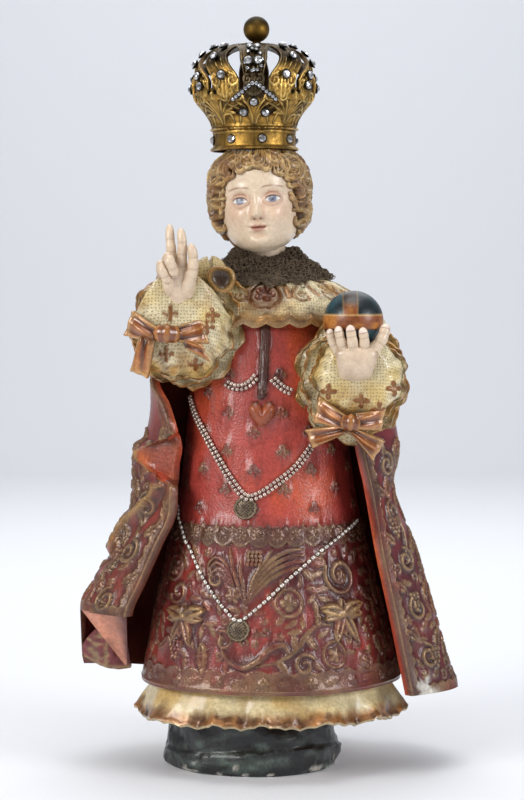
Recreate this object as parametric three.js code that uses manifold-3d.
// Crowned child figure of cast plaster on a rock base, in millimetres, +Z up, facing -Y.
// The origin is on the underside of the base, below the axis of the figure.
import * as THREE from 'three';
import Module from 'manifold-3d';
import { mergeVertices } from 'three/addons/utils/BufferGeometryUtils.js';

const wasm = await Module();
wasm.setup();

// Driving dimensions
const FIGURE_HEIGHT = 408; // from the top of the base to the top of the hair
const BASE_WIDTH = 127;
const BASE_DEPTH = 98;
const BASE_HEIGHT = 38;
const CAPE_THICKNESS = 5;
const ORB_DIAMETER = 41.5;
const CROWN_BAND_DIAMETER = 60;
const CROWN_BAND_HEIGHT = 14;
const CROWN_BULGE_DIAMETER = 85;
const CROWN_HEIGHT = 74; // from the rim to the top disc
const CROWN_DISC_DIAMETER = 32;
const CROWN_WALL = 1.6;
const CROWN_TILT = THREE.MathUtils.degToRad(-0.5);
const CROWN_BALL_DIAMETER = 19;
const CROWN_BALL_OFFSET = 2.2; // the ball sits a little beside the axis of the crown
const ARCH_COUNT = 8;
const ARCH_WIDTH = 17;
const BAND_STONE_DIAMETER = 5.8;
const TRIM_THICKNESS = 6;
const STONE_BEAD_DIAMETER = 2.9;
const STONE_BEAD_PITCH = 3.6;
const OVAL_BEAD_DIAMETER = 2.6;
const OVAL_BEAD_PITCH = 4.2;
const MEDALLION_DIAMETER = 15;
const FIT_GAP = 0.35;

// The figure is drawn 446 units tall with its feet 38 units up, and scaled to its height
const DRAWN_TOP = 446;
const DRAWN_FEET = 38;
const SCALE = FIGURE_HEIGHT / (DRAWN_TOP - DRAWN_FEET);
const RISE = BASE_HEIGHT - DRAWN_FEET * SCALE;
const TURN = Math.PI * 2;
const DEGREE = Math.PI / 180;

const toPart = ([x, y, z]) => new THREE.Vector3(x * SCALE, y * SCALE, z * SCALE + RISE);
const mix = (a, b, t) => a + (b - a) * t;
const bell = (distance, width) => Math.exp(-((distance / width) ** 2));
const clamp = (value) => Math.min(1, Math.max(0, value));

/** Reads one column of a table of rows at height z, with an even curve between the rows. */
function read(rows, z, column) {
  const last = rows.length - 1;
  const at = Math.min(Math.max(z, rows[0][0]), rows[last][0]);
  let i = 0;
  while (i < last - 1 && at > rows[i + 1][0]) i += 1;
  const slope = (k) => (rows[k + 1][column] - rows[k][column]) / (rows[k + 1][0] - rows[k][0]);
  const tangent = (k) => {
    if (k === 0) return slope(0);
    if (k === last) return slope(last - 1);
    const before = slope(k - 1);
    const after = slope(k);
    return before * after > 0 ? (2 * before * after) / (before + after) : 0;
  };
  const step = rows[i + 1][0] - rows[i][0];
  const t = (at - rows[i][0]) / step;
  return (
    (2 * t ** 3 - 3 * t ** 2 + 1) * rows[i][column] +
    (t ** 3 - 2 * t ** 2 + t) * step * tangent(i) +
    (3 * t ** 2 - 2 * t ** 3) * rows[i + 1][column] +
    (t ** 3 - t ** 2) * step * tangent(i + 1)
  );
}

/** Makes a geometry from points and triangles, turned so that its faces point outwards. */
function closed(points, faces) {
  const geometry = new THREE.BufferGeometry();
  let volume = 0;
  for (let f = 0; f < faces.length; f += 3) {
    const [a, b, c] = [faces[f], faces[f + 1], faces[f + 2]].map((k) => new THREE.Vector3(...points[k]));
    volume += a.dot(b.cross(c));
  }
  if (volume < 0) faces.reverse();
  geometry.setAttribute('position', new THREE.Float32BufferAttribute(points.flat(), 3));
  geometry.setIndex(faces);
  return geometry;
}

/** Closes rings of points: u runs round each ring, v runs from the first ring to the last. */
function tube(around, along, point) {
  const points = [];
  const faces = [];
  for (let j = 0; j <= along; j += 1) {
    for (let i = 0; i < around; i += 1) points.push(point(i / around, j / along));
  }
  const at = (i, j) => j * around + (i % around);
  for (let j = 0; j < along; j += 1) {
    for (let i = 0; i < around; i += 1) {
      faces.push(at(i, j), at(i + 1, j), at(i + 1, j + 1), at(i, j), at(i + 1, j + 1), at(i, j + 1));
    }
  }
  for (const j of [0, along]) {
    const ring = points.slice(at(0, j), at(0, j) + around);
    const middle = [0, 1, 2].map((axis) => ring.reduce((sum, p) => sum + p[axis], 0) / around);
    const centre = points.push(middle) - 1;
    for (let i = 0; i < around; i += 1) {
      faces.push(...(j === 0 ? [centre, at(i + 1, j), at(i, j)] : [centre, at(i, j), at(i + 1, j)]));
    }
  }
  return closed(points, faces);
}

/** Closes a body that runs round an axis and round its own section, which has so many corners. */
function ring(around, corners, point) {
  const points = [];
  const faces = [];
  for (let j = 0; j < corners; j += 1) {
    for (let i = 0; i < around; i += 1) points.push(point(i / around, j));
  }
  const at = (i, j) => (j % corners) * around + (i % around);
  for (let j = 0; j < corners; j += 1) {
    for (let i = 0; i < around; i += 1) {
      faces.push(at(i, j), at(i + 1, j), at(i + 1, j + 1), at(i, j), at(i + 1, j + 1), at(i, j + 1));
    }
  }
  return closed(points, faces);
}

/** Closes a curved sheet with an outer and an inner side, both given over the same u and v. */
function sheet(across, along, outer, inner) {
  const points = [];
  const faces = [];
  for (const side of [outer, inner]) {
    for (let j = 0; j <= along; j += 1) {
      for (let i = 0; i <= across; i += 1) points.push(side(i / across, j / along));
    }
  }
  const size = (across + 1) * (along + 1);
  const at = (i, j, side) => side * size + j * (across + 1) + i;
  const quad = (a, b, c, d) => faces.push(a, b, c, a, c, d);
  for (let j = 0; j < along; j += 1) {
    for (let i = 0; i < across; i += 1) {
      quad(at(i, j, 0), at(i + 1, j, 0), at(i + 1, j + 1, 0), at(i, j + 1, 0));
      quad(at(i, j, 1), at(i, j + 1, 1), at(i + 1, j + 1, 1), at(i + 1, j, 1));
    }
    quad(at(0, j, 0), at(0, j + 1, 0), at(0, j + 1, 1), at(0, j, 1));
    quad(at(across, j, 0), at(across, j, 1), at(across, j + 1, 1), at(across, j + 1, 0));
  }
  for (let i = 0; i < across; i += 1) {
    quad(at(i, 0, 0), at(i, 0, 1), at(i + 1, 0, 1), at(i + 1, 0, 0));
    quad(at(i, along, 0), at(i + 1, along, 0), at(i + 1, along, 1), at(i, along, 1));
  }
  return closed(points, faces);
}

/** Carries an oval section along a curve through the points, with a radius at each place t. */
function limb(places, radius, { sides = 5, steps = 3, flat = 1, up = [0, 1, 0] } = {}) {
  const curve = new THREE.CatmullRomCurve3(places.map((p) => new THREE.Vector3(...p)));
  return tube(sides, steps, (u, v) => {
    const tangent = curve.getTangent(v);
    const across = new THREE.Vector3(...up).cross(tangent).normalize();
    const over = tangent.clone().cross(across);
    const r = radius(v);
    const middle = curve.getPoint(v);
    middle.addScaledVector(across, r * Math.cos(u * TURN));
    middle.addScaledVector(over, r * flat * Math.sin(u * TURN));
    return middle.toArray();
  });
}

/** Radius of a finger or a lock: from the root to the tip, with the last part rounded off. */
const tapered = (root, tip) => (t) => mix(root, tip, t) * Math.sqrt(1 - 0.8 * clamp((t - 0.7) / 0.3) ** 2);

/** Turns a geometry in its own place into a solid that can be joined and cut. */
function solid(geometry) {
  const bare = geometry.clone();
  bare.deleteAttribute('normal');
  bare.deleteAttribute('uv');
  const merged = mergeVertices(bare, 1e-4);
  return new wasm.Manifold(
    new wasm.Mesh({
      numProp: 3,
      vertProperties: new Float32Array(merged.attributes.position.array),
      triVerts: new Uint32Array(merged.index.array),
    }),
  );
}

/** Turns a geometry drawn in the figure's units into a solid at its real size and height. */
const carve = (geometry) => solid(geometry.clone().scale(SCALE, SCALE, SCALE).translate(0, 0, RISE));

const join = (solids) => solids.reduce((whole, piece) => whole.add(piece));

/** Gives a solid back as a geometry. */
function geometryOf(body) {
  const mesh = body.getMesh();
  const geometry = new THREE.BufferGeometry();
  const points = new Float32Array(mesh.numVert * 3);
  for (let k = 0; k < mesh.numVert; k += 1) {
    for (let axis = 0; axis < 3; axis += 1) {
      points[k * 3 + axis] = mesh.vertProperties[k * mesh.numProp + axis];
    }
  }
  geometry.setAttribute('position', new THREE.BufferAttribute(points, 3));
  geometry.setIndex(new THREE.BufferAttribute(new Uint32Array(mesh.triVerts), 1));
  return geometry;
}

// Dress: height, half width, half depth and middle of each level, from the hem to the neck
const DRESS = [
  [59, 94, 80, 5.4],
  [115, 82.5, 71, 4.8],
  [152, 73.5, 64, 4.4],
  [200, 63, 56, 4],
  [242, 58, 52, 3.4],
  [300, 51, 46, 2.6],
  [345, 36, 30, 2],
  [360, 22, 21, 2],
];

/** Point of the dress at an angle from the front and a height, raised by a relief height. */
function onDress(angle, z, raised = 0) {
  const halfWidth = read(DRESS, z, 1) + raised;
  const halfDepth = read(DRESS, z, 2) + raised;
  return [read(DRESS, z, 3) + halfWidth * Math.sin(angle), -halfDepth * Math.cos(angle), z];
}

// Lace band across the dress: its two edges and how far it stands proud, and the same for the hem border
const LACE_LOW = 166;
const LACE_HIGH = 180;
const LACE_RAISED = 1.3;
const HEM_RAISED = 1.4;

/** Dress as one bell, with the hem border and the lace band as raised, scalloped steps. */
function dress() {
  const scallop = 1.7;
  const hem = [[59, 0, 0], [60, HEM_RAISED, 0], [71, HEM_RAISED, 1], [72, 0, 1], [92, 0, 0], [125, 0, 0]];
  const lace = [[LACE_LOW - 0.5, 0, -1], [LACE_LOW, LACE_RAISED, -1], [LACE_HIGH, LACE_RAISED, 1]];
  const upper = [[LACE_HIGH + 0.5, 0, 1], [220, 0, 0], [260, 0, 0], [300, 0, 0], [348, 0, 0]];
  const levels = [...hem, ...lace, ...upper];
  const count = levels.length - 1;
  const around = 28;
  return tube(around, count, (u, v) => {
    const [z, raised, wave] = levels[Math.round(v * count)];
    const angle = u * TURN - 0.45 * Math.sin(u * TURN);
    const flare = 1.2 * Math.sin(angle * 5) * clamp((150 - z) / 90);
    const tooth = Math.round(u * around) % 2 ? scallop : -scallop;
    return onDress(angle, z + wave * tooth, raised + flare);
  });
}

/** Cream flounce below the dress, with deep folds that grow towards its wavy hem. */
function underskirt() {
  const folds = 14;
  const levels = [[41, -14], [40, 0], [46, -1.5], [64, -8]];
  return tube(folds * 3, levels.length - 1, (u, v) => {
    const [z, inset] = levels[Math.round(v * (levels.length - 1))];
    const angle = u * TURN;
    const wave = Math.cos(angle * folds + 0.8 * Math.sin(angle * 3));
    const depth = z < 50 ? 2.4 : 0.6;
    const [x, y] = onDress(angle, 59, inset + depth * wave);
    return [x, y, z + (z < 50 ? 1.3 * wave + 1.5 * Math.sin(angle * 2 + 1) : 0)];
  });
}

/** Rock base: an uneven oval with a flat underside, a ridge round it and a shoulder on top. */
function rock() {
  const middle = -6.5 * SCALE;
  const levels = [[0, 0.95], [0.08, 0.99], [0.38, 1], [0.44, 0.96], [0.9, 0.93], [1.25, 0.86]];
  return tube(18, levels.length - 1, (u, v) => {
    const [share, size] = levels[Math.round(v * (levels.length - 1))];
    const angle = u * TURN;
    const broken = share > 0 ? 0.02 * Math.sin(angle * 7 + share * 9) : 0;
    const uneven = size + 0.025 * Math.sin(angle * 3 + 1) + broken;
    const x = middle + (BASE_WIDTH / 2) * uneven * Math.sin(angle);
    return [x, -(BASE_DEPTH / 2) * uneven * Math.cos(angle), BASE_HEIGHT * share];
  });
}

// Left side of the cape: height, front edge and outline (x)
const CAPE_LEFT = [
  [56, -92, -126],
  [85, -97, -130],
  [114, -95, -131],
  [138, -82, -119],
  [163, -65, -106],
  [190, -59, -94],
  [219, -62, -92.5],
  [231, -60, -91.5],
  [238, -61, -84],
  [262, -68, -80],
  [280, -76, -80],
  [330, -46, -62],
  [348, -34, -44],
];
// Right side of the cape: height, front edge and outline (x), and depth of the back
const CAPE_RIGHT = [
  [56, 105, 142, 90],
  [85, 99, 132, 85],
  [114, 93, 124, 80],
  [160, 83, 110, 72],
  [205, 75, 94, 64],
  [232, 69, 98, 60],
  [280, 62, 84, 53],
  [330, 50, 62, 38],
  [348, 38, 46, 26],
];
const CAPE_FRONT_SHARE = 0.17;
const CAPE_SIDE = -6; // where the front parts meet the back (y)
const POCKET_DEPTH = 14;

/** Depth of the pocket in the left front part, where its edge swings out and in and shows the lining. */
function pocket(bow, z) {
  const low = mix(205, 221, bow);
  const high = mix(244, 231, bow);
  return POCKET_DEPTH * clamp((z - low) / 4) * clamp((high - z) / 4) * clamp(1.15 - bow);
}

/** Point of the cape: u from the left front edge round the back to the right one. */
function onCape(u, z, inset) {
  const [leftEdge, left] = [1, 2].map((k) => read(CAPE_LEFT, z, k));
  const [rightEdge, right, back] = [1, 2, 3].map((k) => read(CAPE_RIGHT, z, k));
  const fall = clamp((330 - z) / 270);
  const edgeY = mix(-24, -50, clamp((345 - z) / 110));
  const fromEdge = Math.min(u, 1 - u) / CAPE_FRONT_SHARE;
  const [edge, side] = u < 0.5 ? [leftEdge, left] : [rightEdge, right];
  if (fromEdge < 1) {
    const bow = Math.sin(fromEdge * Math.PI * 0.5);
    const hollow = u < 0.5 ? pocket(bow, z) : 0;
    const x = mix(edge, side, bow) - Math.sign(side) * inset * 0.75;
    return [x, mix(edgeY, CAPE_SIDE, fromEdge ** 1.2) + inset * 0.65 + hollow, z];
  }
  const angle = ((u - CAPE_FRONT_SHARE) / (1 - 2 * CAPE_FRONT_SHARE)) * Math.PI;
  const folds = fall * (4 * Math.sin(angle * 11) + 3 * Math.sin(angle * 5 + 1)) * Math.sin(angle);
  const half = (right - left) / 2 - inset + folds * 0.5;
  const middle = (right + left) / 2;
  const behind = back - CAPE_SIDE - inset + folds;
  return [middle - half * Math.cos(angle), CAPE_SIDE + behind * Math.sin(angle), z];
}

/** Cape as one thick sheet; its left front corner ends higher, where it is turned up. */
function cape() {
  const level = 150;
  const rows = [0, 0.4, 0.8, 178, 204, 209, 216, 222, 230, 238, 244, 290, 346];
  const count = rows.length - 1;
  const hem = (u) => {
    const left = clamp((CAPE_FRONT_SHARE - u) / 0.05 + 0.4);
    return mix(58 + 14 * clamp((0.4 - u) / 0.2), 114, left);
  };
  const height = (u, v) => {
    const row = rows[Math.round(v * count)];
    return row < 1 ? mix(hem(u), level, row) : row;
  };
  const inset = (u, z) => {
    const behind = Math.sin(Math.PI * clamp((u - CAPE_FRONT_SHARE) / (1 - 2 * CAPE_FRONT_SHARE)));
    return (CAPE_THICKNESS / SCALE) * (1 + 6 * behind + 3 * clamp((z - 285) / 30));
  };
  return sheet(
    26,
    count,
    (u, v) => onCape(u, height(u, v), 0),
    (u, v) => onCape(u, height(u, v), inset(u, height(u, v))),
  );
}

/** Flat panel with four corners, thickened towards the back, for folds of the cape. */
function panel(corners, thickness, bulge = 0) {
  const [a, b, c, d] = corners.map((p) => new THREE.Vector3(...p));
  const place = (u, v, back) => {
    const point = a.clone().lerp(b, u).lerp(d.clone().lerp(c, u), v);
    point.y += back - bulge * Math.sin(u * Math.PI) * Math.sin(v * Math.PI);
    return point.toArray();
  };
  return sheet(3, 3, (u, v) => place(u, v, 0), (u, v) => place(u, v, thickness));
}

/** Lining and lower fold below the turned-up left corner of the cape. */
function capeFolds() {
  const thickness = CAPE_THICKNESS / SCALE;
  return [
    panel([[-129, -28, 115], [-96, -38, 114], [-96, -14, 74], [-103, -14, 73]], thickness, -2),
    panel([[-126, -14, 103], [-100, -12, 98], [-95, 0, 68], [-130, 0, 74]], thickness * 2, 3),
  ];
}

/** Raised ridge along a path on the dress, given in degrees from the front and in height. */
function ridge(path, width, height, steps = 4) {
  const curve = new THREE.CatmullRomCurve3(path.map(([a, z]) => new THREE.Vector3(a * DEGREE, z, 0)));
  const half = (t) => width * (0.35 + 0.65 * Math.sin(Math.PI * Math.min(1, t * 0.85 + 0.15)));
  return tube(3, steps, (u, v) => {
    const place = curve.getPoint(v);
    const along = curve.getTangent(v);
    const reach = read(DRESS, place.y, 1);
    const length = Math.hypot(along.x * reach, along.y);
    const [offset, raised] = [[1, -0.8], [0, height], [-1, -0.8]][Math.round(u * 3)];
    const angle = place.x - (along.y / length) * offset * (half(v) / reach);
    const z = place.y + ((along.x * reach) / length) * offset * half(v);
    return onDress(angle, z, raised);
  });
}

/** Path of a spiral scroll round a centre, in degrees from the front and in height. */
function spiral([angle, z], startRadius, endRadius, from, to) {
  return Array.from({ length: 7 }, (_, k) => {
    const t = k / 6;
    const radius = mix(startRadius, endRadius, t);
    const turn = mix(from, to, t) * DEGREE;
    const reach = read(DRESS, z, 1) * DEGREE;
    return [angle + (radius * Math.cos(turn)) / reach, z + radius * Math.sin(turn)];
  });
}

/** Round boss on a surface, with petals round its edge. */
function boss([angle, z], radius, height, petals = 0, sides = 8, rings = [[1, -1.2], [0.3, height]]) {
  return tube(sides, rings.length - 1, (u, v) => {
    const [size, raised] = rings[Math.round(v * (rings.length - 1))];
    const reach = size * radius * (1 + (petals ? 0.18 * Math.cos(u * TURN * petals) : 0));
    const across = (reach * Math.cos(u * TURN)) / read(DRESS, z, 1);
    return onDress(angle * DEGREE + across, z + reach * Math.sin(u * TURN), raised);
  });
}

/** Carving on the dress: palmette, scrolls, rosettes and two bows. */
function dressCarving() {
  const pieces = [];
  const middle = -11.5;
  const root = [middle, 122];
  for (const side of [-1, 1]) {
    const leaf = [root, [middle + side * 11, 144], [middle + side * 24, 154], [middle + side * 34, 148]];
    pieces.push(ridge([root, [middle + side * 5, 140], [middle + side * 9, 160]], 3.4, 2.2));
    pieces.push(ridge(leaf, 4, 2.4));
    pieces.push(ridge(spiral([middle + side * 22, 134], 11, 4, 90, 90 - side * 250), 3, 2));
  }
  pieces.push(ridge(spiral([41, 143], 13, 3, 200, -160), 3.2, 2.4, 8));
  pieces.push(ridge(spiral([-60, 145], 10, 3, 20, 330), 3, 2));
  pieces.push(ridge([[-38, 100], [-20, 92], [-4, 80], [8, 98], [22, 106]], 3.4, 2.2));
  pieces.push(ridge(spiral([12, 88], 10, 3, 160, -120), 2.8, 2));
  for (const [angle, z, radius] of [[10, 126, 7], [28, 91, 7.5], [48, 84, 6.5], [-48, 90, 8]]) {
    pieces.push(boss([angle, z], radius, 2.4, 4));
  }
  return pieces.concat(dressBow([-46, 114], 0.95), dressBow([39, 117], 1));
}

/** Bow in relief on the dress: two loops, a knot and two tails. */
function dressBow([angle, z], size) {
  const reach = size / (read(DRESS, z, 1) * DEGREE);
  const parts = [boss([angle, z], 3.6 * size, 4.4)];
  for (const side of [-1, 1]) {
    const at = (across, upward) => [angle + side * across * reach, z + upward * size];
    parts.push(ridge([at(0, 0), at(8, 3.5), at(16, 1)], 6 * size, 4.6, 3));
    parts.push(ridge([at(0, 0), at(7, -8), at(12, -14)], 3.4 * size, 2.6, 3));
  }
  return parts;
}

/** Ribbon and heart on the breast, in relief. */
function heartPendant() {
  const heart = tube(12, 3, (u, v) => {
    const [size, raised] = [[1, -1.5], [1, 1.6], [0.72, 4], [0.25, 5.2]][Math.round(v * 3)];
    const turn = u * TURN;
    const across = 10 * size * Math.sin(turn) ** 3;
    const upward = 8.6 * size * (Math.cos(turn) - 0.38 * Math.cos(2 * turn) - 0.14 * Math.cos(3 * turn));
    return onDress(-3 * DEGREE + across / 54, 260 + upward, raised);
  });
  return [ridge([[0, 316], [-1, 292], [-2.6, 268]], 3.6, 2, 3), heart];
}

// Shoulder cape: height, half width and half depth of each ring, from the neck to under its edge
const SHOULDER = [
  [361, 17, 16],
  [355, 33, 26],
  [347, 52, 36],
  [337, 70, 45],
  [325, 80, 50],
  [320, 78, 48],
  [324, 50, 34],
];
const SHOULDER_SIDES = 28;
const SHOULDER_SCALLOPS = 14;

/** Point of the shoulder cape at a place between its rings, raised by so much. */
function onShoulder(u, place, raised = 0) {
  const k = Math.min(Math.floor(place), SHOULDER.length - 2);
  const [z, halfWidth, halfDepth] = SHOULDER[k].map((value, i) => mix(value, SHOULDER[k + 1][i], place - k));
  const rim = Math.round(place) === 4 || Math.round(place) === 5 ? 1 : 0;
  const scallop = rim * 2.4 * Math.abs(Math.sin(u * Math.PI * SHOULDER_SCALLOPS));
  const dip = rim * 2.4 * Math.abs(Math.cos(u * Math.PI));
  const x = 3 + (halfWidth - scallop * 0.6) * Math.sin(u * TURN);
  return [x, -(halfDepth - scallop * 0.6) * Math.cos(u * TURN), z + raised + scallop - dip];
}

/** Shoulder cape of lace: a scalloped oval that falls from the neck over the shoulders. */
function shoulderCape() {
  const count = SHOULDER.length - 1;
  return tube(SHOULDER_SIDES, count, (u, v) => onShoulder(u, v * count));
}

// Cuffs of lace: outer and inner frill as middle (x, z), half width, half height and place (y) of the
// rim, then the wrist that the dome closes on
const CUFFS = [
  {
    outer: { middle: [-49, 318], halfWidth: 41, halfHeight: 43, rim: -38 },
    inner: { middle: [-53, 316], halfWidth: 36, halfHeight: 37, rim: -50 },
    wrist: { middle: [-57, 334], radius: 13, front: -72 },
  },
  {
    outer: { middle: [62, 280], halfWidth: 38, halfHeight: 43, rim: -44 },
    inner: { middle: [66, 283], halfWidth: 33, halfHeight: 31, rim: -62 },
    wrist: { middle: [65, 293], radius: 13, front: -82 },
  },
];
const CUFF_LOBES = 10;

/** Cuff of lace: two scalloped frills, one before the other, and a dome that closes on the wrist. */
function cuff({ outer, inner, wrist }) {
  const rings = [
    [outer, outer.rim + 8, 0.78, 0],
    [outer, outer.rim, 1, 1],
    [outer, outer.rim - 4, 0.97, 1],
    [outer, outer.rim - 5, 0.8, 0],
    [inner, inner.rim, 1, 1],
    [inner, inner.rim - 4, 0.96, 1],
    [inner, inner.rim - 5.5, 0.86, 0],
    [inner, mix(inner.rim, wrist.front, 0.72), 0.62, 0],
  ];
  const count = rings.length;
  return tube(CUFF_LOBES * 2, count, (u, v) => {
    const angle = u * TURN;
    const k = Math.round(v * count);
    if (k === count) {
      const { middle: [x, z], radius, front } = wrist;
      return [x + radius * Math.cos(angle), front, z + radius * Math.sin(angle)];
    }
    const [{ middle: [x, z], halfWidth, halfHeight }, y, size, frill] = rings[k];
    const wave = size * (1 + 0.05 * frill * Math.cos(angle * CUFF_LOBES));
    return [x + halfWidth * wave * Math.cos(angle), y, z + halfHeight * wave * Math.sin(angle)];
  });
}

function sleeves() {
  const upperArm = () => 23;
  const options = { sides: 8, up: [0, 0, 1] };
  return [
    limb([[-34, 0, 326], [-56, -10, 316], [-62, -26, 310], [-54, -42, 314]], upperArm, options),
    limb([[40, 0, 326], [64, -8, 315], [69, -26, 300], [66, -46, 288]], upperArm, options),
    ...CUFFS.map(cuff),
  ];
}

/** Bow of ribbon on a cuff: two flared loops, a knot and two tails, given by their ends. */
function cuffBow({ knot, loops, tails, size }) {
  const loopRadius = (t) => size * mix(0.32, 1, Math.sin(t * Math.PI * 0.55));
  const tailRadius = (t) => size * mix(0.3, 0.62, t);
  const parts = [limb([[knot[0] - 5, knot[1] - 1, knot[2]], [knot[0] + 5, knot[1] - 1, knot[2]]],
    () => size * 0.55, { sides: 6, steps: 2 })];
  const halfway = (end, rise) => knot.map((value, k) => mix(value, end[k], 0.5) + (k === 2 ? rise : 0));
  for (const end of loops) {
    parts.push(limb([knot, halfway(end, 1.5), end], loopRadius, { steps: 2, flat: 0.5 }));
  }
  for (const end of tails) {
    parts.push(limb([knot, halfway(end, 0), end], tailRadius, { sides: 4, steps: 2, flat: 0.35 }));
  }
  return parts;
}

function cuffBows() {
  return [
    ...cuffBow({
      knot: [-56, -76, 311],
      loops: [[-87, -66, 318], [-32, -70, 305]],
      tails: [[-76, -66, 285], [-31, -62, 291]],
      size: 10,
    }),
    ...cuffBow({
      knot: [58, -74, 254],
      loops: [[37, -70, 265], [82, -72, 260]],
      tails: [[36, -60, 238], [78, -60, 232]],
      size: 9,
    }),
  ];
}

const digitForm = { up: [1, 0, 0] };

/** Blessing hand: two fingers and the thumb raised, the other two folded into the palm. */
function raisedHand() {
  const palm = limb([[-57, -66, 330], [-58, -71, 340], [-59, -73, 352], [-59, -73, 361]],
    (t) => mix(6, 7, t), { sides: 8, steps: 4, flat: 1.65, up: [1, 0, 0] });
  const finger = tapered(4.3, 3);
  return [
    palm,
    limb([[-63, -73, 358], [-63.5, -74, 372], [-62.3, -73, 387]], finger, digitForm),
    limb([[-55, -74, 357], [-55.5, -75, 370], [-56, -75, 384.5]], finger, digitForm),
    limb([[-50, -75, 347], [-46.5, -79, 360], [-48, -82, 374.5]], tapered(5, 3.4), digitForm),
    limb([[-67, -73, 355], [-68, -80, 362], [-64, -85, 355], [-62, -79, 351]], finger, digitForm),
    limb([[-70, -72, 351], [-72, -78, 356], [-69, -83, 350], [-66, -78, 346]], tapered(3.9, 2.8), digitForm),
  ];
}

// Orb: its middle in the figure's units, and its radius there
const ORB_MIDDLE = [63, -64, 322];
const ORB_RADIUS = ORB_DIAMETER / 2;

/** Point of a finger that lies on the orb: across and up the front of it, in degrees. */
function roundOrb(across, upward, lift) {
  const reach = (ORB_RADIUS + FIT_GAP) / SCALE + lift;
  const [a, b] = [across * DEGREE, upward * DEGREE];
  return [
    ORB_MIDDLE[0] + reach * Math.sin(a) * Math.cos(b),
    ORB_MIDDLE[1] - reach * Math.cos(a) * Math.cos(b),
    ORB_MIDDLE[2] + reach * Math.sin(b),
  ];
}

/** Hand that holds the orb from below: palm under it and five fingers up its front. */
function orbHand() {
  const palm = limb([[66, -66, 282], roundOrb(8, -66, 13), roundOrb(6, -46, 8)],
    (t) => mix(6, 6.5, t), { sides: 8, steps: 4, flat: 1.8, up: [1, 0, 0] });
  const digit = ([root, knuckle, tip], from, to, radius) => {
    const middle = roundOrb(knuckle, mix(from, to, 0.5), radius);
    const places = [roundOrb(root, from, radius + 2), middle, roundOrb(tip, to, radius)];
    return limb(places, tapered(radius, radius * 0.72), digitForm);
  };
  return [
    palm,
    digit([-24, -38, -41], -44, -12, 3.6),
    digit([-14, -26, -30], -42, -10, 3.9),
    digit([-2, -12, -15], -42, -8, 3.9),
    digit([12, 8, 8], -42, -10, 3.9),
    digit([36, 60, 72], -46, -8, 4.4),
  ];
}

// Head: height, half width, depth in front and depth behind, from the chin to the crown of the head
const HEAD = [
  [-37, 9, 27, 6],
  [-33, 15, 32, 14],
  [-24, 22.5, 34, 24],
  [-10, 27, 35, 30],
  [4, 28.5, 35.5, 33],
  [18, 27, 36, 33],
  [28, 20, 28, 27],
  [34, 9, 13, 13],
];
const HEAD_MIDDLE = [0, -4, 408];
const HEAD_LEAN = [2, -5, -5]; // degrees about each axis

/** Height of the features over the plain head: brow, nose, eyes, cheeks, lips and chin. */
function features(x, z) {
  const eye = Math.abs(x) - 12;
  return (
    6.2 * bell(x, 3.6) * bell(z + 9, 4.5) +
    2.6 * bell(x, 2.8) * bell(z + 1, 7) -
    2.4 * bell(eye, 6.5) * bell(z - 1, 4.4) +
    1.5 * bell(eye, 3.8) * bell(z - 0.5, 2.8) +
    0.8 * bell(eye, 8) * bell(z - 8, 3) +
    1.6 * bell(Math.abs(x) - 15, 8) * bell(z + 11, 8) +
    2 * bell(x, 6.5) * bell(z + 18.5, 2.4) +
    1.8 * bell(x, 5.2) * bell(z + 23, 2.2) +
    2.2 * bell(x, 7.5) * bell(z + 32, 4.5)
  );
}

/** Places a point of the head: leant and turned a little about its middle. */
function onHead(x, y, z) {
  const point = new THREE.Vector3(x, y, z);
  point.applyEuler(new THREE.Euler(...HEAD_LEAN.map((angle) => angle * DEGREE)));
  return [point.x + HEAD_MIDDLE[0], point.y + HEAD_MIDDLE[1], point.z + HEAD_MIDDLE[2]];
}

function head() {
  const heights = [-37, -33, -28, -23, -18.5, -14, -9, -4, 1, 8, 16, 26, 34];
  const face = tube(22, heights.length - 1, (u, v) => {
    const z = heights[Math.round(v * (heights.length - 1))];
    const angle = (u - 0.5) * TURN + 0.78 * Math.sin(u * TURN);
    const x = read(HEAD, z, 1) * Math.sin(angle);
    const front = Math.cos(angle);
    const depth = front > 0 ? -read(HEAD, z, 2) * front ** 0.8 : -read(HEAD, z, 3) * front;
    return onHead(x, depth - (front > 0 ? features(x, z) * front : 0), z);
  });
  const neck = limb([[2.5, 0, 340], [2, 0, 362], [0, -3, 386]], () => 15.5, { sides: 12 });
  const ear = limb([onHead(28, 2, 4), onHead(30, 3, -2), onHead(27, 1, -9)], () => 4, { flat: 0.6 });
  return [face, neck, ear];
}

/** Hair: one rounded mass of short curls round the face, each a lump with a twist. */
function hair() {
  const rows = 11;
  const locks = 9;
  return tube(locks * 3, rows, (u, v) => {
    const upward = mix(-66, 84, v);
    const around = (u + v * 0.04) * TURN;
    const row = Math.round(v * rows);
    const curl = Math.cos(around * locks + (row % 4 < 2 ? 0 : Math.PI));
    const lump = (2.6 * curl + 1.4 * Math.cos(row * Math.PI)) * Math.cos(upward * DEGREE * 0.9);
    const front = Math.max(0, Math.cos(around));
    const parted = 9 * front * clamp((30 - upward) / 24) * clamp(front * 3);
    const reach = 35 + lump - parted;
    const b = upward * DEGREE;
    const x = reach * Math.sin(around) * Math.cos(b);
    return onHead(x, 5 - (reach + 0.5) * Math.cos(around) * Math.cos(b), 6 + (reach - 1.5) * Math.sin(b));
  });
}

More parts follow.
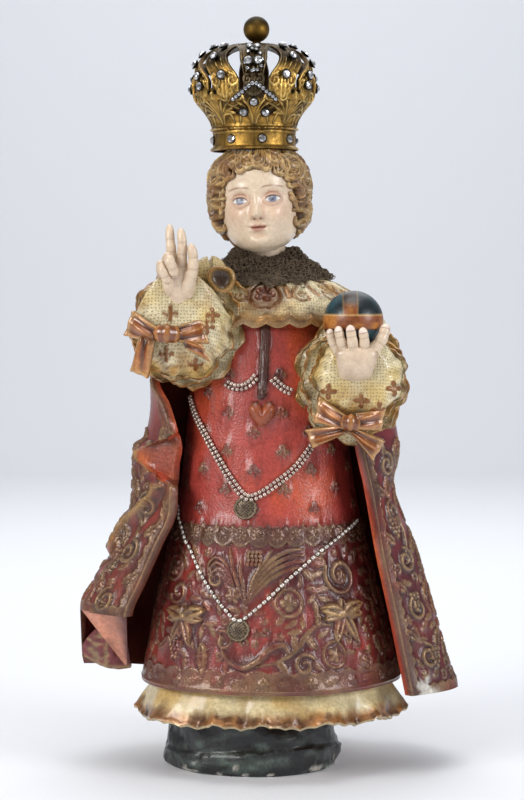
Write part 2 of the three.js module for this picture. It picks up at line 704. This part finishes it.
// Crown: share of its height and radius at each level of the wall, from the rim upwards
const CROWN_SEAT = [-5.4, -4, 441.5];
const crownBand = CROWN_BAND_DIAMETER / 2;
const crownBulge = CROWN_BULGE_DIAMETER / 2;
const crownRise = CROWN_HEIGHT - CROWN_BAND_HEIGHT;
const crownProfile = [
  [0, crownBand + 0.8],
  [2, crownBand + 0.8],
  [2.5, crownBand - 0.6],
  [CROWN_BAND_HEIGHT, crownBand - 0.6],
  [CROWN_BAND_HEIGHT + 0.6, crownBand + 0.6],
  [CROWN_BAND_HEIGHT + crownRise * 0.06, crownBand],
  [CROWN_BAND_HEIGHT + crownRise * 0.2, mix(crownBand, crownBulge, 0.3)],
  [CROWN_BAND_HEIGHT + crownRise * 0.36, mix(crownBand, crownBulge, 0.88)],
  [CROWN_BAND_HEIGHT + crownRise * 0.5, crownBulge],
  [CROWN_BAND_HEIGHT + crownRise * 0.72, crownBulge * 0.96],
  [CROWN_BAND_HEIGHT + crownRise * 0.86, crownBulge * 0.84],
  [CROWN_BAND_HEIGHT + crownRise * 0.95, crownBulge * 0.64],
  [CROWN_HEIGHT, CROWN_DISC_DIAMETER / 2 - 1],
];

const crownSides = ARCH_COUNT * 2;
const onCrown = (angle, height, inset = 0) => {
  const radius = read(crownProfile, height, 1) - inset;
  return [radius * Math.sin(angle), -radius * Math.cos(angle), height];
};

/** Point on the axis of the crown at a height above its rim, with the crown's tilt. */
function placeCrown(geometry) {
  const seat = toPart(CROWN_SEAT);
  return geometry.clone().rotateY(CROWN_TILT).translate(seat.x, seat.y, seat.z);
}

/** Crown wall: band, flared body and a crest that rises into a leaf below each arch. */
function crownWall() {
  const crest = (u) => 0.36 + 0.16 * Math.abs(Math.cos(u * Math.PI * ARCH_COUNT)) ** 1.5;
  const levels = [0, 2, 2.5, CROWN_BAND_HEIGHT, CROWN_BAND_HEIGHT + 0.6];
  const height = (u, v) => {
    const k = Math.round(v * 6);
    if (k < 5) return levels[k];
    return CROWN_BAND_HEIGHT + crownRise * mix(0.06, crest(u), (k - 4) / 2);
  };
  const flute = (u, v) => (v > 0.8 ? 0.4 * Math.cos(u * TURN * ARCH_COUNT * 2) : 0);
  const side = levels.length + 2;
  return ring(crownSides, side * 2, (u, j) => {
    const outside = j < side;
    const v = (outside ? j : side * 2 - 1 - j) / (side - 1);
    return onCrown(u * TURN, height(u, v), (outside ? 0 : CROWN_WALL) - flute(u, v));
  });
}

/** One arch: a curved strip from the wall up to the disc, narrower towards the disc. */
function crownArch(turn) {
  const low = CROWN_BAND_HEIGHT + crownRise * 0.4;
  const half = (v) => (ARCH_WIDTH / 2) * mix(1.3, 0.85, v);
  const place = (u, v, inset) => {
    const height = mix(low, CROWN_HEIGHT, Math.sin((v * Math.PI) / 2));
    const [x, y, z] = onCrown(0, height, inset);
    const across = mix(-half(v), half(v), u) * Math.min(1, -y / 12);
    return new THREE.Vector3(x + across, y, z).applyAxisAngle(new THREE.Vector3(0, 0, 1), turn).toArray();
  };
  const proud = 0.9;
  return sheet(1, 4, (u, v) => place(u, v, -proud), (u, v) => place(u, v, CROWN_WALL + 0.3));
}

function crown() {
  const parts = [solid(placeCrown(crownWall()))];
  for (let k = 0; k < ARCH_COUNT; k += 1) parts.push(solid(placeCrown(crownArch((TURN * k) / ARCH_COUNT))));
  const disc = new THREE.CylinderGeometry(CROWN_DISC_DIAMETER / 2, CROWN_DISC_DIAMETER / 2 - 2, 2.4, 24);
  parts.push(solid(placeCrown(disc.rotateX(Math.PI / 2).translate(0, 0, CROWN_HEIGHT))));
  return join(parts);
}

/** Space that the crown takes round the hair: a tilted ring that is cut out of the hair. */
function crownSeat() {
  const inner = crownBand - 0.6 - CROWN_WALL - FIT_GAP;
  const outer = crownBulge + 6;
  const low = -FIT_GAP;
  const high = CROWN_BAND_HEIGHT * 2;
  const profile = [[inner, low], [outer, low], [outer, high], [inner, high], [inner, low]];
  const space = new THREE.LatheGeometry(profile.map(([r, z]) => new THREE.Vector2(r, z)), 24);
  return solid(placeCrown(space.rotateX(Math.PI / 2)));
}

/** Cut glass stone with a flat back, a wide girdle and a small flat table, facing -Y. */
function cutStone(diameter) {
  const radius = diameter / 2;
  return tube(8, 1, (u, v) => {
    const [r, y] = v < 0.5 ? [radius, 0] : [radius * 0.6, -radius * 0.7];
    return [r * Math.cos(u * TURN), y, r * Math.sin(u * TURN)];
  });
}

/** Stone on the crown's band, on the middle of a facet. */
function bandStone(index) {
  const turn = (TURN * index) / ARCH_COUNT + Math.PI / crownSides;
  const reach = (crownBand - 0.6) * Math.cos(Math.PI / crownSides) + FIT_GAP;
  const stone = cutStone(BAND_STONE_DIAMETER).translate(0, -reach, CROWN_BAND_HEIGHT * 0.54);
  return placeCrown(stone.rotateZ(turn));
}

function crownBall() {
  const ball = new THREE.SphereGeometry(CROWN_BALL_DIAMETER / 2, 12, 7).rotateX(Math.PI / 2);
  const stem = new THREE.CylinderGeometry(2.6, 3.4, 3, 10).rotateX(Math.PI / 2);
  const low = CROWN_HEIGHT + 1.2 + FIT_GAP;
  return join([
    solid(placeCrown(stem.translate(CROWN_BALL_OFFSET, 0, low + 1.5))),
    solid(placeCrown(ball.translate(CROWN_BALL_OFFSET, 0, low + 1 + CROWN_BALL_DIAMETER / 2))),
  ]);
}

/** Orb, or the room for it when it is grown by a gap. */
function orb(grown = 0) {
  const ball = new THREE.SphereGeometry(ORB_RADIUS + grown, 16, 9).rotateX(Math.PI / 2);
  return ball.translate(...toPart(ORB_MIDDLE));
}

/** Trim of metal thread: an uneven collar that lies on the shoulder cape round the neck. */
function neckTrim() {
  const gap = FIT_GAP / SCALE;
  const thick = TRIM_THICKNESS / SCALE;
  const under = [[0.14, gap], [1, gap], [1.5, gap]];
  const corners = [...under, [1.62, gap + thick * 0.4], [1, gap + thick], [0.3, gap + thick]];
  return ring(SHOULDER_SIDES, corners.length, (u, j) => {
    const [place, raised] = corners[j % corners.length];
    const loose = raised > gap ? 0.8 * Math.sin(u * TURN * 7) * Math.cos(u * TURN * 4) : 0;
    return onShoulder(u, place, raised + loose);
  }).scale(SCALE, SCALE, SCALE).translate(0, 0, RISE);
}

// Chains: their routes on the dress, in degrees from the front and in height
const UPPER_LEFT = [[-31, 278.5], [-24, 275.5], [-17, 275.5], [-12, 278], [-7, 283]];
const UPPER_RIGHT = [[4, 282], [8, 278], [13, 274], [18, 272]];
const MIDDLE_CHAIN = [[-72, 268], [-62, 257], [-48, 243], [-36, 228], [-24, 211], [-14, 199.5],
  [-5, 201], [8, 210.5], [19, 220], [31, 234]];
const LOWER_CHAIN = [[-76, 190], [-62, 178], [-48, 160], [-34, 139], [-22, 122], [-14.5, 114.5],
  [-5, 124], [11, 143.5], [30, 161], [47, 172], [66, 180]];

/** Route of a chain over the dress, as a curve in millimetres with room below for its beads. */
function chainCurve(route, radius) {
  const path = new THREE.CatmullRomCurve3(route.map(([a, z]) => new THREE.Vector3(a * DEGREE, z, 0)));
  const lift = (z) => (radius + FIT_GAP + 0.25) / SCALE +
    (LACE_RAISED + 0.2) * clamp((LACE_HIGH + 5 - z) / 3) * clamp((z - LACE_LOW + 5) / 3);
  const places = Array.from({ length: 41 }, (_, k) => {
    const { x: angle, y: z } = path.getPoint(k / 40);
    return toPart(onDress(angle, z, lift(z)));
  });
  return new THREE.CatmullRomCurve3(places);
}

/** String of beads: a three-sided section that swells to each bead, so many beads wide. */
function beadString(route, diameter, pitch, wide = 1) {
  const curve = chainCurve(route, diameter / 2);
  const beads = Math.round(curve.getLength() / pitch);
  return solid(tube(3, beads * 2, (u, v) => {
    const full = Math.round(v * beads * 2) % 2 === 1;
    const r = (full ? 0.5 : 0.24) * diameter;
    const middle = curve.getPointAt(v);
    const tangent = curve.getTangentAt(v);
    const outward = new THREE.Vector3(middle.x, middle.y, 0).normalize();
    const across = outward.clone().cross(tangent).normalize();
    const over = tangent.clone().cross(across);
    const turn = u * TURN + Math.PI / 2;
    middle.addScaledVector(across, r * wide * 1.2 * Math.cos(turn));
    return middle.addScaledVector(over, r * Math.sin(turn)).toArray();
  }));
}

/** Room for a chain in the carving below it. */
function chainBed(route, diameter, wide = 1) {
  const curve = chainCurve(route, diameter / 2);
  const r = diameter / 2 + FIT_GAP;
  const steps = route.length * 3;
  return solid(tube(4, steps, (u, v) => {
    const middle = curve.getPointAt(v);
    const tangent = curve.getTangentAt(v);
    const outward = new THREE.Vector3(middle.x, middle.y, 0).normalize();
    const across = outward.clone().cross(tangent).normalize();
    const over = tangent.clone().cross(across);
    const turn = u * TURN + Math.PI / 4;
    middle.addScaledVector(across, (r * wide * 1.2 + 0.5) * Math.SQRT2 * Math.cos(turn));
    return middle.addScaledVector(over, (r + 1.6) * Math.SQRT2 * Math.sin(turn) + 1.4).toArray();
  }));
}

/** Round medallion that hangs from the lowest bead of a chain, flat against the dress. */
function medallion([angle, z], grown = 0) {
  const radius = MEDALLION_DIAMETER / 2 + grown;
  const drop = MEDALLION_DIAMETER / 2 / SCALE;
  const low = FIT_GAP + 0.5 - grown;
  const high = low + 1 + grown * 2;
  const rings = [[1, low], [1, high], [0.72, high + 0.2], [0.4, high + 1]];
  const geometry = tube(12, rings.length - 1, (u, v) => {
    const [size, lift] = rings[Math.round(v * (rings.length - 1))];
    const across = (radius * size * Math.cos(u * TURN)) / (read(DRESS, z, 1) * SCALE);
    const upward = (radius * size * Math.sin(u * TURN)) / SCALE;
    return toPart(onDress(angle * DEGREE + across, z - drop + upward, lift / SCALE)).toArray();
  });
  return solid(geometry);
}

const middlePendant = [-13.8, 199];
const lowerPendant = [-14.6, 115.5];

function statue() {
  const bodies = [dress(), underskirt(), cape(), ...capeFolds(), shoulderCape(), ...sleeves(), ...cuffBows(),
    ...raisedHand(), ...orbHand(), ...head(), ...heartPendant()];
  const beds = join([
    chainBed(MIDDLE_CHAIN, STONE_BEAD_DIAMETER, 2),
    chainBed(LOWER_CHAIN, OVAL_BEAD_DIAMETER),
    medallion(middlePendant, 0.6),
    medallion(lowerPendant, 0.6),
  ]);
  const carving = join(dressCarving().map(carve)).subtract(beds);
  const room = solid(orb(FIT_GAP));
  const figure = join([...bodies.map(carve), solid(rock()), carving]);
  return figure.add(carve(hair()).subtract(crownSeat())).subtract(room);
}

const FINISHES = {
  plaster: { color: 0xb4483a, roughness: 0.4, metalness: 0 },
  gilt: { color: 0xa87c34, roughness: 0.42, metalness: 0.9 },
  ball: { color: 0x8a6c34, roughness: 0.5, metalness: 0.9 },
  orb: { color: 0x21313a, roughness: 0.2, metalness: 0 },
  thread: { color: 0x4a3a28, roughness: 0.8, metalness: 0.3 },
  glass: { color: 0xdfe6ee, roughness: 0.05, metalness: 0 },
  bead: { color: 0xd8d2c8, roughness: 0.2, metalness: 0.4 },
};

const part = new THREE.Group();

function add(name, body, finish) {
  const geometry = body.isBufferGeometry ? body : geometryOf(body);
  const mesh = new THREE.Mesh(geometry, new THREE.MeshStandardMaterial(FINISHES[finish]));
  mesh.name = name;
  part.add(mesh);
}

add('statue', statue(), 'plaster');
add('crown', crown(), 'gilt');
add('crown_ball', crownBall(), 'ball');
add('orb', orb(), 'orb');
add('neck_collar', neckTrim(), 'thread');
const doubleRow = (route) => beadString(route, STONE_BEAD_DIAMETER, STONE_BEAD_PITCH, 2);
const singleRow = (route) => beadString(route, OVAL_BEAD_DIAMETER, OVAL_BEAD_PITCH);
add('upper_necklace_left', doubleRow(UPPER_LEFT), 'bead');
add('upper_necklace_right', doubleRow(UPPER_RIGHT), 'bead');
add('middle_chain', doubleRow(MIDDLE_CHAIN).add(medallion(middlePendant)), 'bead');
add('lower_chain', singleRow(LOWER_CHAIN).add(medallion(lowerPendant)), 'bead');
for (let k = 0; k < ARCH_COUNT; k += 1) add(`band_stone_${k + 1}`, bandStone(k), 'glass');

export default part;
